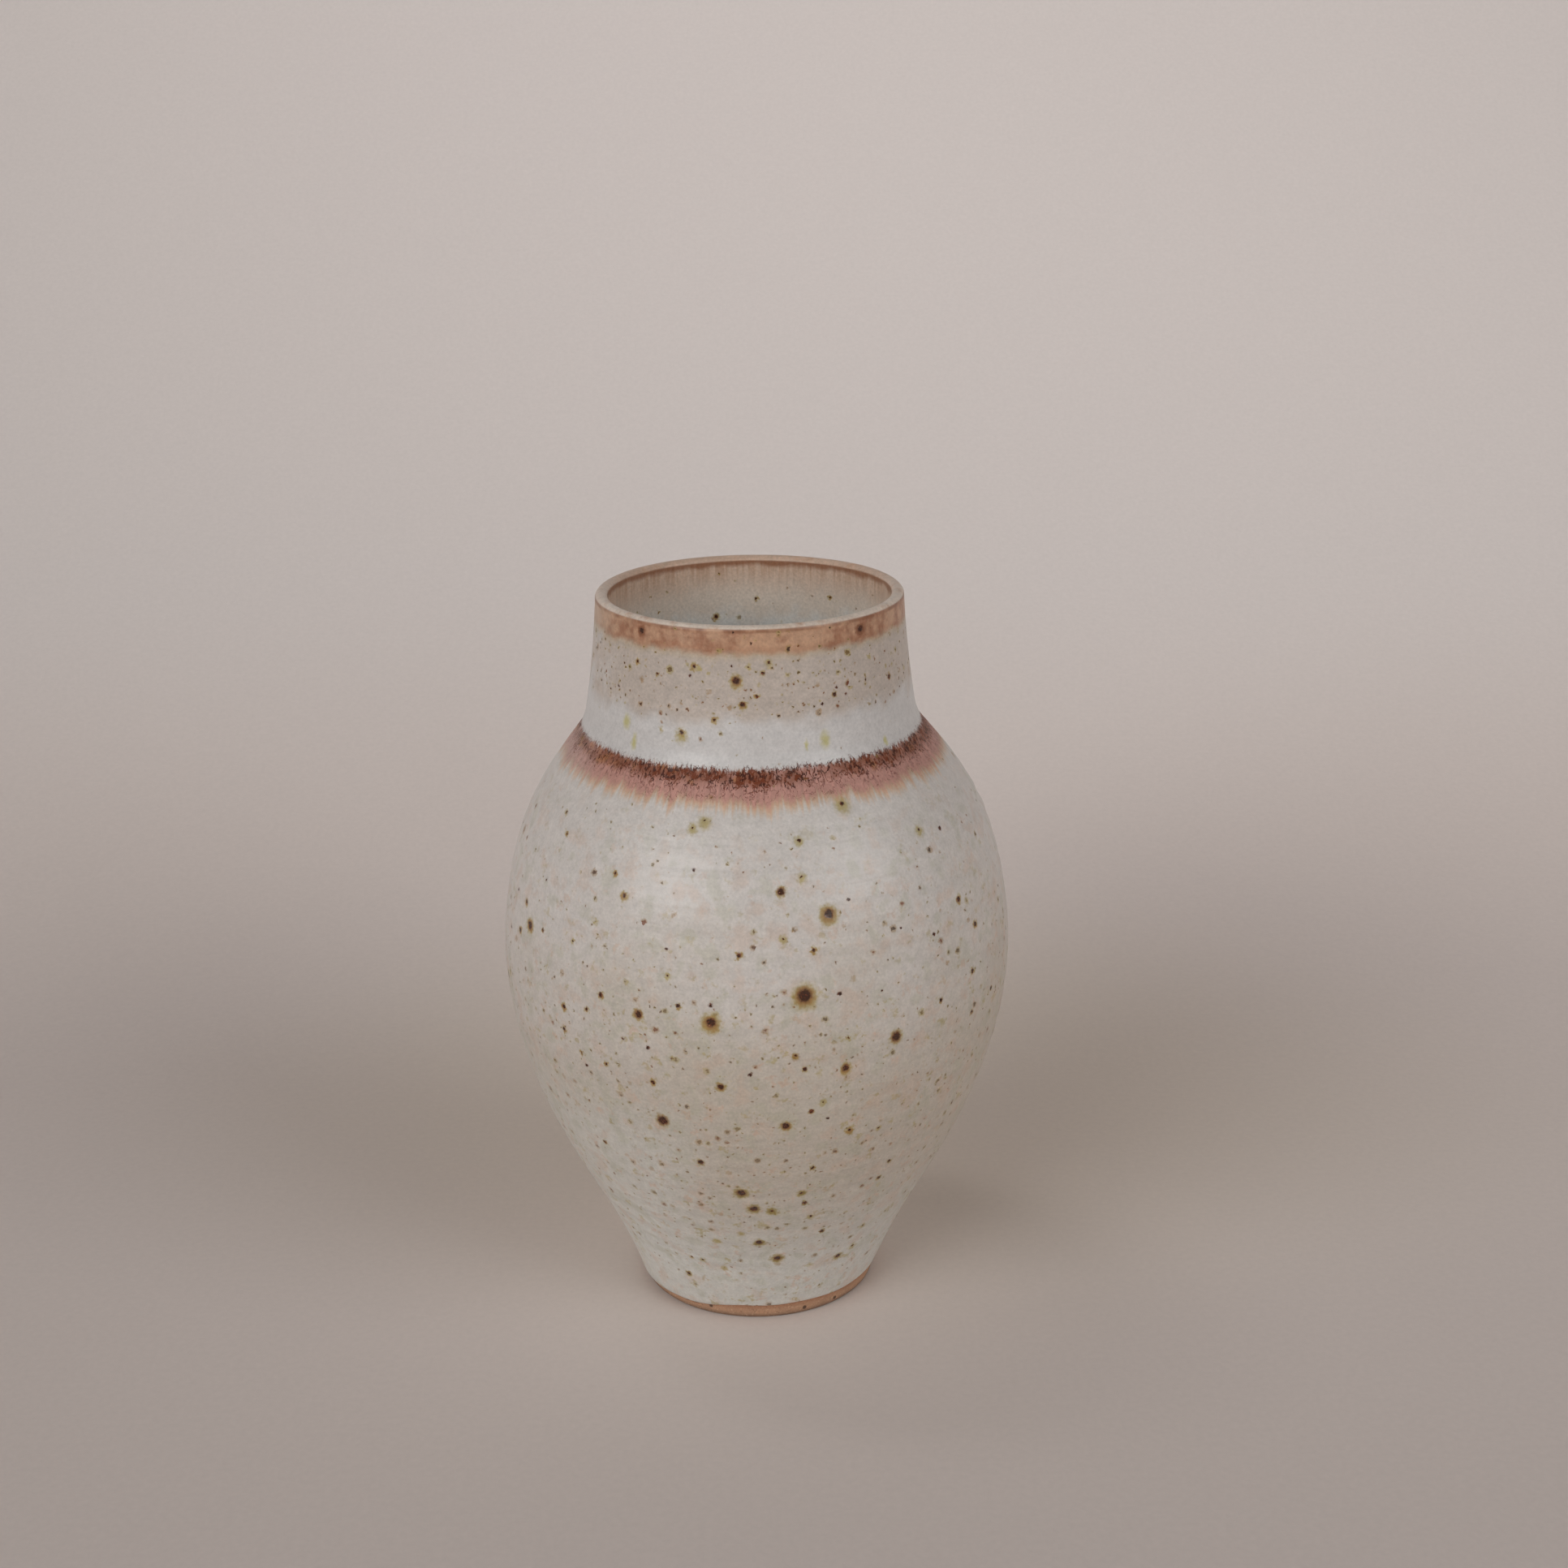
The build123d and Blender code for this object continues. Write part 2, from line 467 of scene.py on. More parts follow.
class Finish:
    """One material's node tree, with short names for the nodes the glazes are made of."""

    def __init__(self, name):
        self.material = bpy.data.materials.new(name)
        self.material.use_nodes = True
        self.nodes = self.material.node_tree.nodes
        self.shader = self.nodes["Principled BSDF"]
        place = self.nodes.new("ShaderNodeTexCoord").outputs["Object"]
        self.mm = self.vector("MULTIPLY", place, (1 / MM,) * 3)
        level = self.nodes.new("ShaderNodeSeparateXYZ")
        self.feed(level.inputs[0], self.mm)
        self.x, self.y, self.z = level.outputs
        # the same direction from the axis at a fixed radius, so streaks keep their width
        flat = self.vector("NORMALIZE", self.vector("MULTIPLY", self.mm, (1, 1, 0)))
        self.round = self.vector("MULTIPLY", flat, (30, 30, 0))

    def feed(self, socket, value):
        """Link another node's output to a socket, or set the socket to a plain value."""
        if isinstance(value, bpy.types.NodeSocket):
            self.material.node_tree.links.new(value, socket)
        else:
            socket.default_value = value

    def math(self, operation, *values, clamp=False):
        node = self.nodes.new("ShaderNodeMath")
        node.operation = operation
        node.use_clamp = clamp
        for socket, value in zip(node.inputs, values):
            self.feed(socket, value)
        return node.outputs[0]

    def vector(self, operation, *values):
        node = self.nodes.new("ShaderNodeVectorMath")
        node.operation = operation
        for socket, value in zip(node.inputs, values):
            self.feed(socket, value)
        return node.outputs["Value" if operation == "LENGTH" else "Vector"]

    def step(self, value, low, high):
        """0 below low and 1 above high, or the other way round if low is above high."""
        node = self.nodes.new("ShaderNodeMapRange")
        node.interpolation_type = "SMOOTHSTEP"
        for name, given in (("Value", value), ("From Min", low), ("From Max", high)):
            self.feed(node.inputs[name], given)
        return node.outputs["Result"]

    def mix(self, amount, a, b, blend="MIX"):
        """From colour a to colour b."""
        node = self.nodes.new("ShaderNodeMix")
        node.data_type = "RGBA"
        node.blend_type = blend
        for number, value in ((0, amount), (6, a), (7, b)):
            self.feed(node.inputs[number], value)
        return node.outputs[2]

    def blend(self, amount, a, b):
        """From number a to number b."""
        node = self.nodes.new("ShaderNodeMix")
        for number, value in ((0, amount), (2, a), (3, b)):
            self.feed(node.inputs[number], value)
        return node.outputs[0]

    def both(self, *values):
        """All of some amounts at once, which is their product."""
        product = values[0]
        for value in values[1:]:
            product = self.math("MULTIPLY", product, value)
        return product

    def total(self, *parts):
        """The sum of some (value, weight)."""
        value, weight = parts[-1]
        result = self.math("MULTIPLY", value, weight)
        for value, weight in parts[-2::-1]:
            result = self.math("MULTIPLY_ADD", value, weight, result)
        return result

    def ragged(self, *pushes):
        """The height, pushed up and down by some (noise, reach) about their middle."""
        height = self.math("SUBTRACT", self.z, sum(reach for _, reach in pushes) / 2)
        for noise, reach in pushes:
            height = self.math("MULTIPLY_ADD", noise, reach, height)
        return height

    def noise(self, place, size, detail=2.0, rough=0.5):
        """Noise from 0 to 1, with features about size millimetres wide."""
        node = self.nodes.new("ShaderNodeTexNoise")
        self.feed(node.inputs["Vector"], place)
        node.inputs["Scale"].default_value = 1 / size
        node.inputs["Detail"].default_value = detail
        node.inputs["Roughness"].default_value = rough
        return node.outputs["Fac"]

    def shaken(self, size, amount, x=0.0, y=0.0, z=0.0):
        """The place pushed about at random, for ragged edges, and moved by (x, y, z)."""
        node = self.nodes.new("ShaderNodeTexNoise")
        self.feed(node.inputs["Vector"], self.mm)
        node.inputs["Scale"].default_value = 1 / size
        middle = tuple(0.5 - v / amount for v in (x, y, z))
        push = self.vector("SUBTRACT", node.outputs["Color"], middle)
        return self.vector("MULTIPLY_ADD", push, (amount,) * 3, self.mm)

    def shaded(self, colour, value, amount):
        """The colour made darker or lighter as value goes below or above a half."""
        shade = self.math("MULTIPLY_ADD", value, 2 * amount, 1 - amount)
        return self.mix(1.0, colour, shade, "MULTIPLY")

    def moved(self, x, y, z):
        """The place moved, for another part of a pattern."""
        return self.vector("ADD", self.mm, (x, y, z))

    def unrolled(self, squeeze):
        """A place that turns with the wall and rises squeeze times as fast as the height."""
        return self.vector("MULTIPLY_ADD", self.mm, (0, 0, squeeze), self.round)

    def streaks(self, width, length):
        """Noise drawn out down the wall."""
        return self.noise(self.unrolled(width / length), width)

    def by_height(self, stops):
        """A number that changes with height, from (height, number) stops."""
        node = self.nodes.new("ShaderNodeValToRGB")
        self.feed(node.inputs[0], self.math("DIVIDE", self.z, HEIGHT))
        marks = node.color_ramp.elements
        for mark, (at, value) in zip(marks, (stops[0], stops[-1])):
            mark.position = at / HEIGHT
            mark.color = (value, value, value, 1)
        for at, value in stops[1:-1]:
            marks.new(at / HEIGHT).color = (value, value, value, 1)
        return node.outputs[0]

    def specks(self, place, size, largest, share):
        """Random spots, one try in each cell: distance from the spot, its radius, and its kind."""
        node = self.nodes.new("ShaderNodeTexVoronoi")
        self.feed(node.inputs["Vector"], place)
        node.inputs["Scale"].default_value = 1 / size
        away = self.math("MULTIPLY", node.outputs["Distance"], size)
        split = self.nodes.new("ShaderNodeSeparateColor")
        self.feed(split.inputs[0], node.outputs["Color"])
        above = self.math("SUBTRACT", self.math("ADD", split.outputs[0], share), 1)
        radius = self.math("MULTIPLY", self.math("DIVIDE", above, share), largest)
        return away, radius, split.outputs[1]

    def inside(self, away, radius, soft):
        """1 inside a spot and 0 outside, over an edge soft millimetres wide."""
        depth = self.math("SUBTRACT", radius, away)
        return self.math("MULTIPLY_ADD", depth, 1 / soft, 0.5, clamp=True)

    def nearest(self, place, spots):
        """Distance to the nearest of some spots, (middle, size), counted in that spot's own size."""
        nearest = FAR
        for middle, size in spots:
            scale = [1 / s for s in size]
            back = [-m * k for m, k in zip(middle, scale)]
            away = self.vector("LENGTH", self.vector("MULTIPLY_ADD", place, scale, back))
            nearest = away if nearest is FAR else self.math("MINIMUM", nearest, away)
        return nearest

    def bump(self, height):
        """Relief in millimetres."""
        node = self.nodes.new("ShaderNodeBump")
        node.inputs["Distance"].default_value = MM
        self.feed(node.inputs["Height"], height)
        self.feed(self.shader.inputs["Normal"], node.outputs[0])


# ---------------------------------------------------------------- where the spots are

# Spots in the glaze that can be told apart from the front, where iron in the clay has bled
# through: degrees round from the front, height, width of the dark middle, width of the stain.
IRON_SPOTS = [
    (-10, 63.3, 1.6, 3.3), (9.7, 67.3, 2.3, 4.2), (16, 79, 1.5, 3.2), (30.3, 58.2, 1.7, 2.5),
    (-22.3, 45, 1.8, 2.3), (-26, 63.3, 1.3, 2.1), (-61.5, 71, 1.5, 2.5), (-8.3, 52.5, 1.1, 1.7),
    (18.6, 54.6, 1.2, 2.2), (5.8, 45.1, 1.3, 2.1), (5.5, 82.7, 1.2, 1.7), (-31.5, 80.7, 0.6, 1.6),
    (-35.5, 65, 0.8, 1.3), (-46.5, 61, 0.8, 1.5), (-47, 57, 0.7, 1.3), (-39.5, 62, 0.7, 1.1),
    (-65, 74, 0.8, 1.4), (-66.5, 69, 0.9, 1.5), (-55.5, 71.5, 0.6, 0.9), (-35, 83.5, 0.5, 1.2),
    (-55, 86.5, 0.5, 1.1), (-4, 73.7, 0.7, 1.2), (12, 74, 0.6, 1.2), (52, 76, 0.9, 1.6),
    (57, 71, 0.8, 1.5), (54, 64, 0.8, 1.4), (54, 57, 0.7, 1.1), (42.7, 61.8, 0.7, 1.0),
    (63.5, 58.5, 0.8, 1.1), (-17, 65.5, 0.7, 1.1), (-42, 54, 0.4, 1.1), (-35, 53.5, 0.5, 1.1),
    (-23.5, 52, 0.7, 1.3), (11.4, 47.5, 0.8, 1.1), (21, 42.7, 0.6, 1.7), (-42, 37, 0.7, 1.1),
    (-14.5, 37.5, 1.0, 1.3), (7.5, 57.8, 0.5, 1.1), (9.6, 55.3, 0.7, 1.2), (-5, 31.2, 1.5, 2.7),
    (-1.8, 27.5, 1.4, 2.5), (3.2, 26.8, 0.6, 1.9), (11, 30.5, 0.6, 1.7), (12.3, 28.2, 0.8, 1.3),
    (20.3, 20.2, 0.8, 1.2), (31.3, 12.3, 1.0, 1.9), (-0.4, 19, 1.1, 2.1), (6.2, 14.7, 1.2, 2.3),
    (-30.8, 8.9, 0.7, 1.4), (34, 30.2, 0.8, 1.3), (35.4, 33.5, 0.7, 1.1), (13, 36, 0.6, 1.1),
    (-5, 111.7, 1.2, 2.2), (-44, 113.1, 0.6, 1.2), (-34.6, 111.8, 0.5, 0.8), (-20, 113.7, 0.6, 1.3),
    (-2.8, 108.2, 0.8, 1.5), (2, 109.4, 0.5, 0.9), (-12.4, 105.8, 0.4, 1.2), (30, 108.6, 0.7, 1.1),
    (57.7, 108.9, 0.9, 1.1), (-24, 103.5, 0.7, 1.3), (43, 117.7, 1.2, 2.4), (-42.5, 118, 1.1, 2.0),
]
# The paler, olive ones, mostly stain
OLIVE_SPOTS = [
    (-13.5, 92, 0.3, 2.5), (-16.5, 91, 0.4, 2.0), (11, 89.3, 0.6, 1.7), (10.5, 84.5, 0.4, 1.8),
    (25, 93.3, 0.7, 3.0), (45.5, 87.6, 0.5, 2.0), (-59, 89, 0.5, 1.1), (-38.5, 76, 0.3, 1.2),
    (-44.5, 72, 0.4, 1.1), (5.6, 76, 0.4, 1.5), (-6, 21.2, 0.2, 1.5), (-14.3, 19, 0.2, 1.8),
    (-14, 12, 0.2, 1.4), (-22, 13.4, 0.4, 1.5), (-26.5, 13.6, 0.4, 1.1), (37, 18.5, 0.4, 1.6),
    (37, 13.7, 0.5, 1.7), (15, 24.6, 0.5, 1.6), (-19.5, 70, 0.4, 1.3), (14, 49, 0.3, 1.4),
    (28.7, 41.8, 0.4, 1.2), (19, 59.7, 0.4, 1.0), (-18.6, 56.8, 0.4, 0.9), (68, 83, 0.6, 1.2),
    (6.3, 114.4, 0.5, 1.5), (-0.6, 113.8, 0.3, 1.0), (4.2, 112.8, 0.6, 1.1), (-24, 103.2, 0.1, 2.4),
    (-18, 113.6, 0.1, 1.0), (-32, 103.6, 0.1, 1.0),
]
# Small dark specks with no stain: degrees round, height, width
SPECKS = [
    (-15, 85.5, 0.5), (53, 86.7, 0.7), (21, 80.6, 0.5), (-10, 66, 0.7), (-41, 52, 0.6),
    (27, 66.3, 0.4), (33, 75, 0.4), (-20, 74, 0.5), (-57.5, 79, 0.5), (-71.5, 74.5, 0.5),
    (-24, 58, 0.6), (-30, 58.7, 0.5), (-2, 54.7, 0.6), (15.3, 45.8, 0.5), (42, 72.5, 0.6),
    (17.2, 67, 0.7), (-21.5, 112.2, 0.5), (-6.6, 114, 0.4), (31, 109.6, 0.5), (34.8, 108.3, 0.5),
    (-53.5, 108.5, 0.5), (25, 107.4, 0.5), (-6, 119, 0.4), (0.3, 117.4, 0.4),
]
# Yellow-green runs in the white at the foot of the neck: degrees round, height, width, length
RUNS = [
    (-47.5, 103.5, 1.9, 2.6), (-43, 100.8, 1.2, 3.8), (25.2, 102, 1.9, 3.0), (50.5, 99.6, 1.2, 1.8),
    (18.5, 101.5, 0.7, 2.2),
]
# Inside, seen through the mouth
LINER_SPOTS = [
    (194.5, 109.9, 0.7, 1.3), (177, 112.8, 0.5, 0.9), (143, 113.9, 0.5, 0.9), (193, 117.3, 0.3, 0.6),
    (226, 115, 0.3, 0.6), (222, 112, 0.3, 0.6),
]

OUTSIDE = outside_line()
OUTSIDE = OUTSIDE[:int(np.argmax(OUTSIDE[:, 1]))]
INSIDE = cubic_through(BORE, 400)[::-1]


def on_wall(turn, height, line=OUTSIDE):
    """The point at a height on an outline, some degrees round from the front."""
    radius = float(np.interp(height, line[:, 1], line[:, 0]))
    x, y = lean(height)
    angle = math.radians(turn)
    return (radius * math.sin(angle) + float(x), -radius * math.cos(angle) + float(y), height)


# Two dark marks on the foot: (place, size)
CLAY_MARKS = [(on_wall(-33, 1.7), (0.6, 0.6, 0.42)), (on_wall(-14, 1.9), (0.3, 0.3, 0.2))]


def between(spots, low, high):
    """The spots on a coat between two heights, or within 2 mm of it."""
    return [s for s in spots if low - 2 < s[1] < high + 2]


def middles(spots, line=OUTSIDE):
    """(place, size) of the dark middles."""
    return [(on_wall(s[0], s[1], line), (s[2] / 2,) * 3) for s in spots]


def stains(spots, line=OUTSIDE):
    """(place, size) of the stains, which have run down a little."""
    return [
        (on_wall(s[0], s[1] - 0.12 * (s[3] - s[2]), line), (s[3] / 2, s[3] / 2, s[3] * 0.54))
        for s in spots
    ]


# ---------------------------------------------------------------- glazes and clay

# The belly, collar and neck
CREAM = srgb(211, 205, 200)
WHITE = srgb(206, 203, 201)
SAND = srgb(196, 186, 173)
OATMEAL = srgb(191, 179, 169)
PEACH = srgb(203, 172, 150)
SAGE = srgb(172, 172, 146)
MILK = srgb(212, 212, 207)
# The rim's wash and the lip
RUST = srgb(158, 106, 77)
RUST_PALE = srgb(194, 152, 122)
TAN = srgb(188, 166, 128)
BUFF = srgb(226, 212, 198)
# The iron band: tips, middle, crust, and its veins and crumbs
TIP = srgb(205, 172, 142)
MAUVE = srgb(191, 140, 127)
UMBER = srgb(134, 72, 41)
AMBER = srgb(176, 112, 56)
CRAWL = srgb(128, 62, 58)
SLAG = srgb(62, 23, 12)
# Spots, from the middle out, with a painted highlight for the glints in their dark middles, and the
# runs
IRON = srgb(56, 32, 23)
IRON_RED = srgb(117, 56, 31)
PAINTED_GLINT = srgb(196, 158, 128)
KHAKI = srgb(116, 90, 52)
BROWN = srgb(132, 84, 56)
OCHRE = srgb(160, 124, 70)
OLIVE = srgb(172, 154, 92)
MOSS = srgb(140, 118, 58)
RUN_GREEN = srgb(188, 180, 108)
# Inside
LINER_POOLED = srgb(214, 212, 207)
LINER_OATMEAL = srgb(212, 198, 184)
LINER_RUST = srgb(186, 146, 118)
LINER_PINK = srgb(208, 178, 156)
SCORCH = srgb(138, 84, 50)
# The bare foot
CLAY = srgb(184, 143, 113)
CLAY_DULL = srgb(172, 134, 107)
CLAY_TOASTED = srgb(156, 102, 72)
# painted shade for the rounded bottom of the foot
CLAY_SHADE = srgb(112, 90, 74)
SAND_GRAIN = srgb(216, 182, 152)
DARK_GRAIN = srgb(116, 80, 58)
GROG = srgb(72, 50, 40)
# The studio
PAPER = srgb(225, 213, 207)
# painted light: the warm tint of the bounce light in the vase's shadows
PAPER_BOUNCE_TINT = srgb(225, 212, 200)
PAPER_COOL = srgb(224, 215, 211)


def add_placed_spots(f, colour, iron, olive, specks, line=OUTSIDE, bleed=OLIVE, ring=OCHRE):
    """The spots whose places are known, with painted highlights for the glints in their dark middles.
    Returns the colour, and 1 in the dark middles.
    """
    place = f.shaken(0.55, 1.3)
    steady = f.shaken(0.45, 0.6)
    fine = f.noise(f.mm, 0.26, 2)
    if olive:
        away = f.nearest(place, stains(olive, line))
        colour = f.mix(f.both(f.step(away, 1.3, 0.25), 0.85), colour, bleed)
    if iron:
        away = f.nearest(place, stains(iron, line))
        colour = f.mix(f.both(f.step(away, 1.3, 0.6), 0.8), colour, bleed)
        colour = f.mix(f.both(f.step(away, 1.0, 0.4), 0.9), colour, ring)
    dark = middles(iron + olive, line)
    dark += [(on_wall(turn, height, line), (size / 2,) * 3) for turn, height, size in specks]
    away = f.nearest(steady, dark)
    colour = f.mix(f.both(f.step(away, 1.5, 0.7), 0.7), colour, BROWN)
    core = f.step(away, 1.1, 0.6)
    middle = f.mix(f.step(fine, 0.52, 0.66), IRON, IRON_RED)
    # painted highlight: pale flecks for glints of light in the dark middles
    colour = f.mix(f.both(core, 0.95), colour, f.mix(f.step(fine, 0.7, 0.76), middle, PAINTED_GLINT))
    return colour, core


# cell, largest radius, part of the cells that have one, stain width, and where the pattern starts,
# for each kind of scattered spot; the last two only where they are not placed
SCATTER = [
    (0.8, 0.23, 0.70, 1.4, (31, 0, 7)),
    (1.5, 0.45, 0.5, 1.6, (0, 17, 3)),
    (3.2, 0.85, 0.34, 1.5, (5, 9, 40)),
    (6.5, 1.35, 0.32, 1.45, (77, 3, 1)),
]


def add_scattered_spots(f, colour, share, unplaced, bold):
    """The specks that are too many to place, and larger spots where unplaced is 1. Bold is how
    strongly the small ones show."""
    middle = 0.0
    for number, (cell, largest, part, spread, start) in enumerate(SCATTER):
        large = number > 1
        wanted = f.both(unplaced if large else share, part)
        away, radius, kind = f.specks(f.shaken(0.45, 0.7, *start), cell, largest, wanted)
        strength = 1.0 if large else bold
        reach = f.math("MULTIPLY", radius, spread)
        stain = f.step(f.inside(away, reach, 0.5 * largest + 0.15), 0.15, 1)
        tint = f.mix(f.step(kind, 0.4, 0.6), OLIVE, OCHRE)
        colour = f.mix(f.both(stain, strength, 0.7), colour, tint)
        core = f.both(f.step(f.inside(away, radius, 0.4 * largest + 0.1), 0.42, 0.95), strength)
        # fewer of them are dark brown low on the belly
        greener = f.math("MULTIPLY_ADD", f.step(f.z, 58, 40), -0.2, kind)
        dark = f.mix(f.step(greener, 0.3, 0.6), KHAKI, f.mix(f.step(kind, 0.7, 0.9), IRON, IRON_RED))
        colour = f.mix(core, colour, dark)
        middle = f.math("MAXIMUM", core, middle)
    return colour, middle


def lip_colour(f):
    """Cream in front and tan at the back."""
    return f.mix(f.both(f.step(f.y, -10, 16), 0.6), BUFF, RUST_PALE)


def belly_colour(f):
    """Chalky above, warmer and thinner below, paler again towards the foot, and paler on the lower
    left with a painted sheen.
    """
    slow = f.noise(f.mm, 21)
    mottle = f.noise(f.mm, 3.4, 3)
    colour = f.mix(f.step(f.ragged((slow, 60)), 42, 82), SAND, CREAM)
    # paler towards the foot
    colour = f.mix(f.both(f.step(f.z, 36, 9), 0.8), colour, MILK)
    # painted sheen: the lower left of the belly made paler, where the light from the left falls on it
    colour = f.mix(f.both(f.step(f.z, 54, 36), f.step(f.x, -3, -18), 0.6), colour, MILK)
    belly = f.step(f.z, 96, 84)
    colour = f.mix(f.both(f.step(mottle, 0.52, 0.68), belly, 0.3), colour, PEACH)
    colour = f.mix(f.both(f.step(mottle, 0.47, 0.34), belly, 0.28), colour, SAGE)
    # soft stains that stay under the surface
    away, radius, kind = f.specks(f.shaken(1.1, 4.0, 9, 50, 20), 1.9, 0.8, 0.55)
    deep = f.by_height([
        (0, 0.6), (58, 0.55), (80, 0.35), (92, 0.2), (94, 0), (99, 0), (107, 0.12), (120, 0.12),
    ])
    tint = f.mix(f.step(kind, 0.4, 0.6), OLIVE, PEACH)
    return f.mix(f.both(f.inside(away, radius, 0.6), deep), colour, tint)


def add_upper_coats(f, colour):
    """The white collar, the oatmeal neck, the rust wash round the rim and the pale lip."""
    colour = f.mix(f.step(f.z, 97.5, 98.6), colour, WHITE)
    # on the left the oatmeal is thin, and the white shows through
    thin = f.both(f.step(f.x, -19, -25), f.step(f.noise(f.mm, 5), 0.42, 0.62))
    oat = f.both(f.step(f.ragged((f.noise(f.mm, 4.5), 5.5)), 103.9, 107.3), f.blend(thin, 1, 0.25))
    colour = f.mix(oat, colour, OATMEAL)
    fringe = f.ragged((f.noise(f.mm, 3.2, 3, 0.6), 2.2))
    colour = f.mix(f.both(f.step(fringe, 114.2, 115.8), 0.45), colour, TAN)
    wash = f.both(f.step(fringe, 115.1, 116.5), f.blend(f.step(f.x, -19, -25.5), 0.92, 0.42))
    cloud = f.noise(f.moved(3, 2, 1), 2.6, 3, 0.6)
    pale = f.both(f.step(f.x, -3, 2), f.step(f.x, 12, 8))
    drawn = f.total((pale, 0.19), (f.streaks(0.8, 4), 0.15), (cloud, 0.85))
    colour = f.mix(wash, colour, f.mix(f.step(drawn, 0.38, 0.62), RUST, RUST_PALE))
    colour = f.mix(f.both(wash, f.step(fringe, 117.2, 116.2), 0.3), colour, RUST)
    rim = f.both(f.step(f.z, 118.7, 119.1), f.step(f.noise(f.moved(0, 0, 9), 3), 0.34, 0.6))
    colour = f.mix(f.both(rim, 0.7), colour, BROWN)
    worn = f.mix(f.step(cloud, 0.5, 0.85), lip_colour(f), RUST_PALE)
    return f.mix(f.both(f.step(f.z, LIP, LIP + 0.25), 0.9), colour, worn)


def add_iron_band(f, colour):
    """The iron band: tan tips, then mauve, then a crust of dark veins and crumbs with rust
    between them, which bristles up into the white. Returns the colour, 1 where the band is, and
    1 in its veins and crumbs."""
    fine = f.streaks(0.55, 8)
    broad = f.streaks(2.6, 24)
    run = f.ragged((broad, 2.6), (fine, 3.6))
    bristle = f.ragged((f.streaks(0.5, 1.4), 1.8))
    coated = f.both(f.step(run, 92.6, 94.4), f.step(bristle, 98.8, 98.0))
    band = f.mix(f.step(run, 93.6, 95.2), TIP, MAUVE)
    level = f.ragged((broad, 2.0))
    patch = f.noise(f.moved(13, 8, 0), 3.4, 2)
    crust = f.both(f.step(level, 95.9, 97.4), f.step(patch, 0.26, 0.52))
    band = f.mix(f.both(crust, 0.93), band, UMBER)
    amber = f.step(f.noise(f.moved(3, 8, 0), 2.4, 1), 0.56, 0.68)
    band = f.mix(f.both(amber, f.step(level, 96.0, 97.0), 0.6), band, AMBER)
    # painted sheen: the band's colour fades towards the far left, where the light grazes it
    covered_less_sheen = f.both(coated, f.blend(f.step(f.x, -22, -29), 0.94, 0.72))
    colour = f.mix(covered_less_sheen, colour, f.shaded(band, fine, 0.35))
    # the veins: a fine net, close in the crust and sparse in the mauve below
    crowd = f.total((f.step(level, 95.4, 97.5), 0.8), (f.step(level, 93.4, 95.6), 0.2))
    crowd = f.both(crowd, f.step(bristle, 99.3, 98.0), f.blend(f.step(patch, 0.34, 0.6), 0.6, 1))
    crowd = f.both(crowd, f.blend(f.step(f.x, -13, -22), 1, 0.6))
    net = f.noise(f.unrolled(0.75), 0.95, 3, 0.6)
    net = f.math("ABSOLUTE", f.math("SUBTRACT", net, 0.5))
    gap = f.math("SUBTRACT", net, f.math("MULTIPLY", crowd, 0.047))
    vein = f.both(f.step(gap, 0.009, -0.009), f.step(crowd, 0.02, 0.12))
    crumbs = f.noise(f.unrolled(0.8), 0.5, 2, 0.6)
    cut = f.math("MULTIPLY_ADD", crowd, -0.21, 0.74)
    dots = f.both(f.step(f.math("SUBTRACT", crumbs, cut), -0.02, 0.03), f.step(crowd, 0.0, 0.1))
    crumb = f.math("MAXIMUM", vein, dots)
    warm = f.step(f.noise(f.moved(1, 1, 30), 0.8, 1), 0.42, 0.56)
    cold = f.mix(f.step(crowd, 0.15, 0.5), CRAWL, SLAG)
    return f.mix(f.both(crumb, 0.9), colour, f.mix(warm, cold, IRON_RED)), coated, crumb


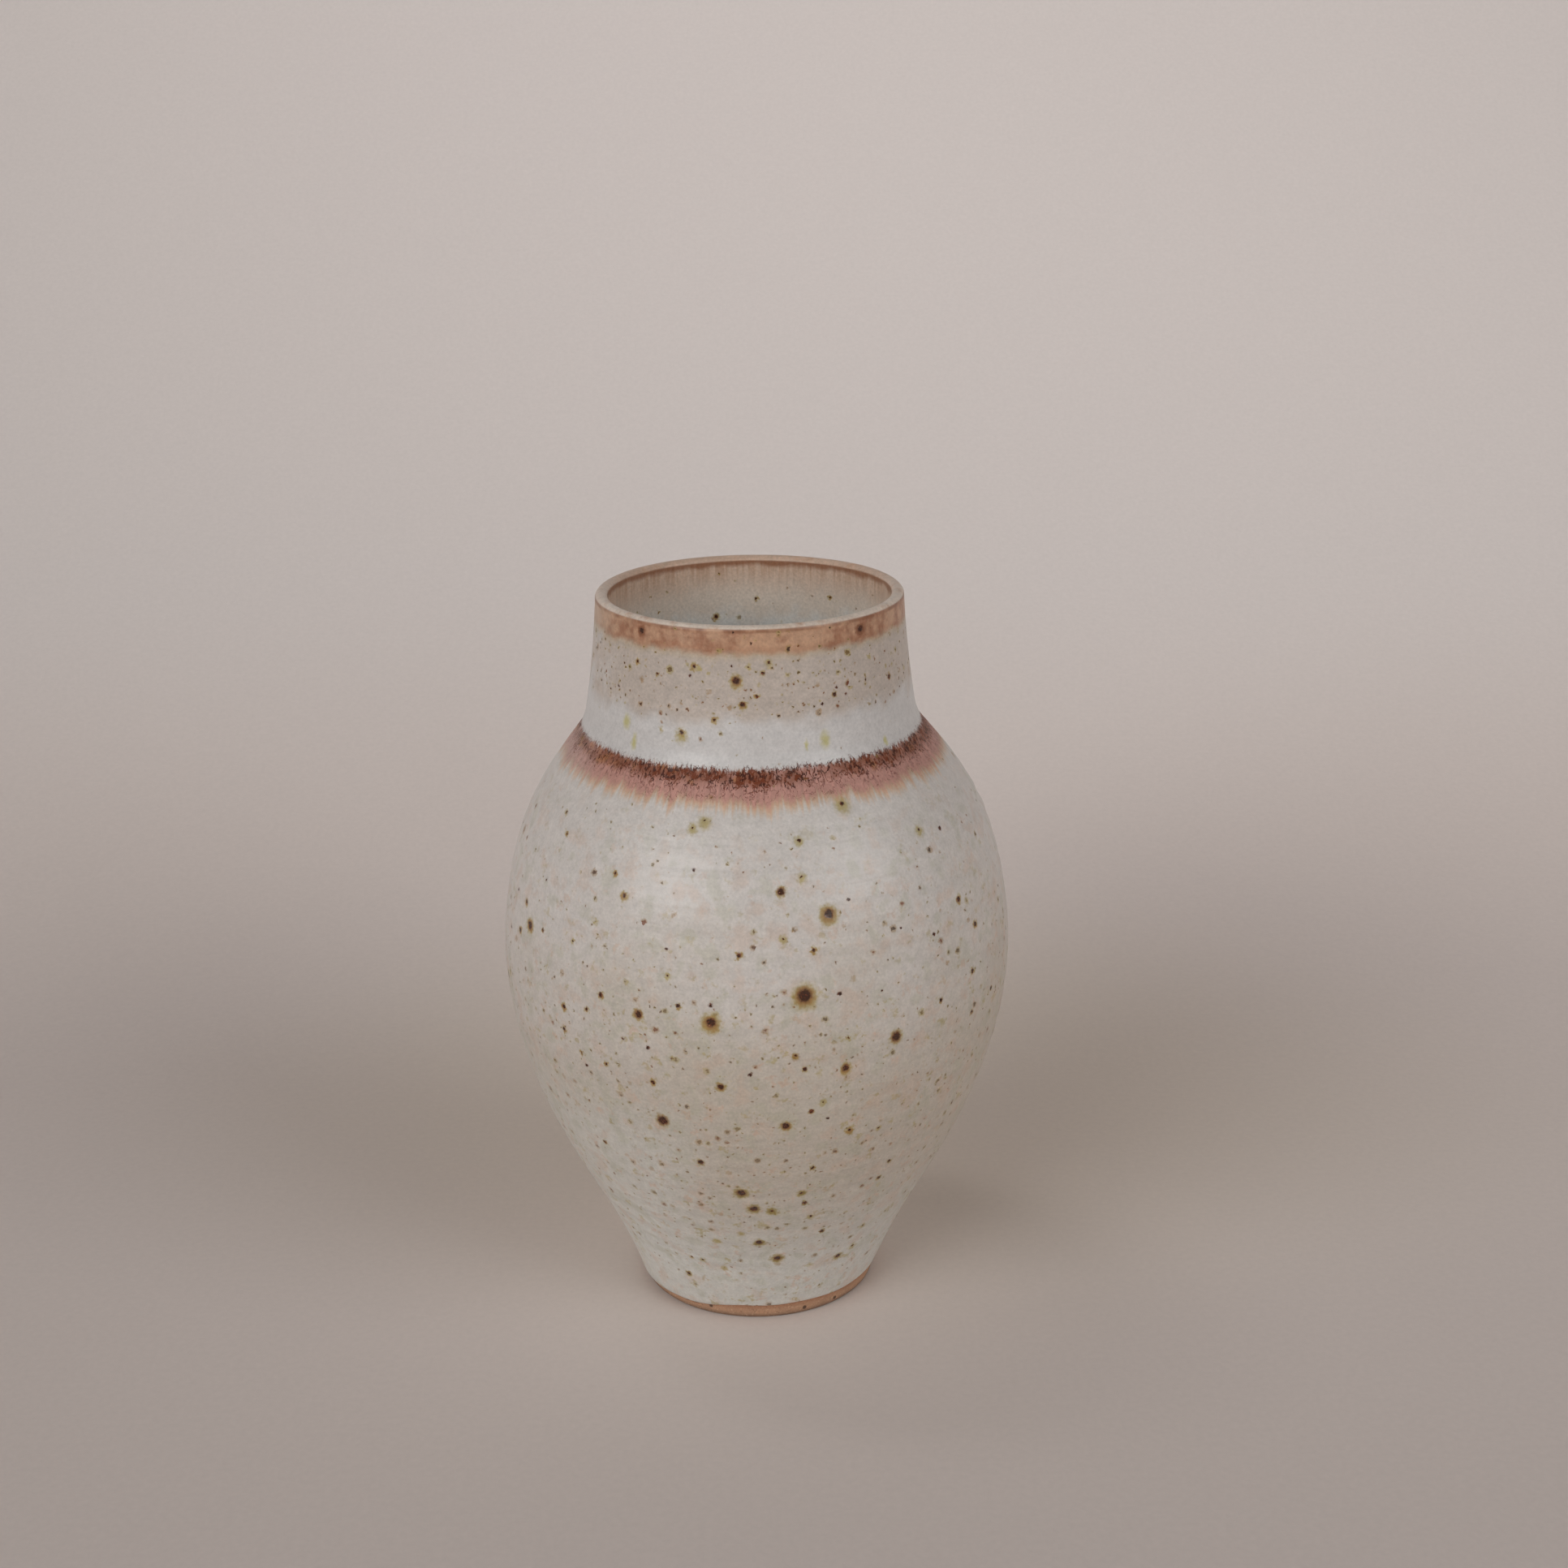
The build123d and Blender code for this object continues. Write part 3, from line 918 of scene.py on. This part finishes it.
def outer_glaze(name, low, high):
    """The outside glazes: one recipe for every coat, so that each runs into the next. The coat
    lies between two heights, and leaves out what can't be seen there."""
    f = Finish(name)
    colour = belly_colour(f)
    if high > 93:
        colour = add_upper_coats(f, colour)
    coated = crumb = None
    if low < 99 and high > 90:
        colour, coated, crumb = add_iron_band(f, colour)

    share = f.by_height([
        (0, 0.15), (8, 0.3), (30, 0.62), (56, 0.56), (74, 0.25), (92, 0.12), (93.5, 0.0), (100, 0.04),
        (105, 0.1), (107.5, 0.95), (114.5, 0.9), (116, 0.25), (119, 0.2), (119.6, 0),
    ])
    unplaced = f.both(f.step(f.y, -14, -8), f.step(share, 0.0, 0.3))
    bold = f.by_height([(0, 0.6), (50, 0.64), (80, 0.78), (103, 0.78), (107, 0.92)])
    colour, small = add_scattered_spots(f, colour, share, unplaced, bold)
    if low >= RIM_BAND:
        bleed, ring = RUST, BROWN
    else:
        bleed, ring = OLIVE, f.mix(f.step(f.z, 42, 30), OCHRE, MOSS)
    placed = [between(spots, low, high) for spots in (IRON_SPOTS, OLIVE_SPOTS, SPECKS)]
    colour, core = add_placed_spots(f, colour, *placed, OUTSIDE, bleed, ring)
    if low == BAND_TOP:
        drips = [(on_wall(turn, z), (w / 2, w / 2, l / 2)) for turn, z, w, l in RUNS]
        drip = f.step(f.nearest(f.shaken(0.8, 0.9), drips), 1.3, 0.2)
        colour = f.mix(f.both(drip, 0.8), colour, RUN_GREEN)

    grain = f.noise(f.mm, 0.42, 3, 0.6)
    curd = f.noise(f.moved(40, 0, 0), 1.5, 3, 0.6)
    turned = f.noise(f.vector("MULTIPLY", f.mm, (0.05, 0.05, 1)), 1.7)
    chalk = f.total((grain, 0.5), (curd, 0.35), (turned, 0.15))
    contrast = 0.55 if low >= COLLAR_TOP else 0.42
    f.feed(f.shader.inputs["Base Color"], f.shaded(colour, chalk, contrast))
    spots = f.math("MAXIMUM", core, small)
    rough = f.blend(f.both(spots, 0.8), f.blend(f.step(grain, 0.3, 0.7), 0.31, 0.45), 0.2)
    relief = f.total((spots, -0.03), (turned, 0.14), (grain, 0.018), (curd, 0.03))
    if crumb:
        rough = f.blend(coated, rough, 0.5)
        relief = f.math("MULTIPLY_ADD", crumb, 0.05, relief)
    if low == BAND_LOW:
        # the band is duller than the glaze round it
        f.feed(f.shader.inputs["Specular IOR Level"], 0.3)
    f.feed(f.shader.inputs["Roughness"], rough)
    f.bump(relief)
    return f.material


def inner_glaze():
    """The coat inside: oatmeal, bluer lower down, with the rim's rust run down from the lip."""
    f = Finish("liner_glaze")
    grain = f.noise(f.mm, 0.42, 3, 0.6)
    level = f.ragged((f.noise(f.mm, 3.0, 3), 8))
    colour = f.mix(f.step(level, 107.0, 112.5), LINER_POOLED, LINER_OATMEAL)
    thin = f.streaks(0.9, 8)
    run = f.ragged((f.streaks(4, 20), 2.4), (thin, 2.6))
    run = f.math("MULTIPLY_ADD", f.step(f.x, 4, -22), 0.6, run)
    pink = f.mix(f.step(thin, 0.36, 0.64), LINER_RUST, LINER_PINK)
    colour = f.mix(f.both(f.step(run, 112.5, 119.0), 0.85), colour, pink)
    scorch = f.ragged((f.noise(f.moved(7, 0, 0), 2.6, 3), 1.6))
    colour = f.mix(f.both(f.step(scorch, 118.0, 119.0), 0.8), colour, SCORCH)
    colour = f.mix(f.step(f.z, LIP - 0.05, LIP + 0.2), colour, lip_colour(f))
    share = f.by_height([(0, 0.5), (104, 0.35), (110, 0.12), (119, 0.0)])
    colour, small = add_scattered_spots(f, colour, share, f.step(f.z, 105, 98), 0.6)
    colour, core = add_placed_spots(f, colour, LINER_SPOTS, [], [], INSIDE)
    f.feed(f.shader.inputs["Base Color"], f.shaded(colour, grain, 0.3))
    spots = f.math("MAXIMUM", core, small)
    f.feed(f.shader.inputs["Roughness"], f.blend(f.both(spots, 0.8), f.blend(grain, 0.3, 0.5), 0.2))
    f.bump(f.total((spots, -0.03), (grain, 0.03)))
    return f.material


def bare_clay():
    """Fired stoneware: sandy buff, with dark grains in it, toasted where the glaze ends, and with
    painted shade darkening the rounded bottom of the foot.
    """
    f = Finish("bare_stoneware")
    sand = f.noise(f.mm, 0.35, 3, 0.65)
    reach = f.vector("LENGTH", f.vector("MULTIPLY", f.mm, (1, 1, 0)))
    turning = f.math("SINE", f.total((f.noise(f.mm, 6, 1), 3), (reach, 5.5)))
    colour = f.mix(f.step(f.noise(f.mm, 4), 0.35, 0.65), CLAY, CLAY_DULL)
    colour = f.mix(f.both(f.step(f.z, 1.6, 2.3), 0.45), colour, CLAY_TOASTED)
    # painted shade: the rounded bottom of the foot darker, where it turns down away from the light
    colour = f.mix(f.both(f.step(f.z, 1.3, 0.2), 0.75), colour, CLAY_SHADE)
    colour = f.mix(f.both(f.step(sand, 0.56, 0.68), 0.5), colour, SAND_GRAIN)
    colour = f.mix(f.both(f.step(sand, 0.42, 0.32), 0.6), colour, DARK_GRAIN)
    away, radius, _ = f.specks(f.moved(3, 3, 3), 1.3, 0.4, 0.3)
    marks = f.nearest(f.mm, CLAY_MARKS)
    grog = f.math("MAXIMUM", f.inside(away, radius, 0.15), f.step(marks, 1.2, 0.7))
    f.feed(f.shader.inputs["Base Color"], f.mix(f.both(grog, 0.85), colour, GROG))
    f.feed(f.shader.inputs["Roughness"], f.blend(sand, 0.75, 0.95))
    f.bump(f.total((turning, 0.012), (sand, 0.14)))
    return f.material


def studio_paper():
    """Paper, with a painted warm bounce light just behind the vase, and cooler up the wall."""
    f = Finish("studio_paper")
    fibre = f.noise(f.mm, 1.2, 4, 0.6)
    away = f.vector("LENGTH", f.vector("MULTIPLY", f.moved(-20, -65, 0), (0.6, 1, 0)))
    colour = f.mix(f.step(f.z, 12, 62), PAPER, PAPER_COOL)
    # painted light: a warm tint round the vase for the bounce light in its shadows
    colour = f.mix(f.step(away, 105, 25), colour, PAPER_BOUNCE_TINT)
    f.feed(f.shader.inputs["Base Color"], f.shaded(colour, fibre, 0.06))
    f.feed(f.shader.inputs["Roughness"], 0.9)
    f.feed(f.shader.inputs["Specular IOR Level"], 0.1)
    return f.material


# node: (slot, material)
FINISHES = {
    "stoneware_body": ("bare_stoneware", bare_clay()),
    "liner_glaze": ("liner_glaze", inner_glaze()),
    "belly_glaze": ("belly_glaze", outer_glaze("belly_glaze", 2, BAND_LOW)),
    "shoulder_glaze": ("iron_band", outer_glaze("iron_band", BAND_LOW, BAND_TOP)),
    "collar_glaze": ("collar_glaze", outer_glaze("collar_glaze", BAND_TOP, COLLAR_TOP)),
    "neck_glaze": ("neck_glaze", outer_glaze("neck_glaze", COLLAR_TOP, RIM_BAND)),
    "rim_glaze": ("rim_glaze", outer_glaze("rim_glaze", RIM_BAND, HEIGHT)),
}

pieces, under_all = build_vase()
pieces["stoneware_body"] = build_body(under_all)
for node, piece in pieces.items():
    slot, material = FINISHES[node]
    piece.data.materials.append(material)
    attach(piece, "root")
    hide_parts(node)


# ---------------------------------------------------------------- studio

# The studio, in metres: how far the paper reaches, its top, where it starts to curve up behind
# the vase and at its other edges, and how far off the soft lights are
SWEEP_REACH = 2.4
SWEEP_TOP = 1.7
WALL_START = 0.07
WALL_CURVE = 0.38
EDGE_START = 1.3
EDGE_CURVE = 0.35
SOFTBOX_AWAY = 2.5


def rise(past, radius):
    """Height of a sheet that curves up from the floor and then leans back on a steep slope."""
    past = max(0.0, past)
    curve = min(past, 3 * radius)
    return curve ** 2 / (2 * radius) + 3 * (past - curve)


def add_sweep():
    """A pale paper floor that curves up into a wall close behind the vase, and far off all round."""
    # metres, closer together near the vase
    steps = [math.copysign(abs(t) ** 1.5 * SWEEP_REACH, t) for t in np.linspace(-1, 1, 61)]
    verts = []
    for y in steps:
        for x in steps:
            height = rise(y - WALL_START, WALL_CURVE)
            height += rise(-y - EDGE_START, EDGE_CURVE) + rise(abs(x) - EDGE_START, EDGE_CURVE)
            verts.append((x, y, min(height, SWEEP_TOP)))
    n = len(steps)
    faces = [
        (j * n + i, j * n + i + 1, (j + 1) * n + i + 1, (j + 1) * n + i)
        for j in range(n - 1) for i in range(n - 1)
    ]
    mesh = bpy.data.meshes.new("studio_sweep")
    mesh.from_pydata(verts, [], faces)
    mesh.polygons.foreach_set("use_smooth", [True] * len(faces))
    mesh.materials.append(studio_paper())
    sweep = bpy.data.objects.new("studio_sweep", mesh)
    bpy.context.scene.collection.objects.link(sweep)


def add_softbox(name, turn, tilt, size, power, colour):
    """A soft light on the vase, turned round from the front (to the right) and up."""
    turn, tilt = math.radians(turn), math.radians(tilt)
    middle = Vector((0, 0, HEIGHT / 2)) * MM
    flat = math.cos(tilt)
    away = Vector((flat * math.sin(turn), -flat * math.cos(turn), math.sin(tilt)))
    add_area(name, middle + away * SOFTBOX_AWAY, middle, size, power, colour)


add_sweep()
world = bpy.data.worlds.new("studio_air")
bpy.context.scene.world = world
world.use_nodes = True
air = world.node_tree.nodes["Background"].inputs
air["Color"].default_value = (1.0, 0.98, 0.96, 1)
air["Strength"].default_value = 0.02
add_softbox("left_light", -40, 23, (2.0, 1.0), 35.5, (0.98, 1.0, 1.0))
add_softbox("right_light", 53, 26, (1.5, 1.0), 19, (0.98, 1.0, 1.0))
# a weak one on the paper behind the vase
wall_light = add_area(
    "wall_light", (-0.35, 0.4, 1.2), (0.14, 0.42, 0.12), (0.5, 0.5), 0.32, (1.0, 0.98, 0.98)
)
wall_light.data.spread = math.radians(44)
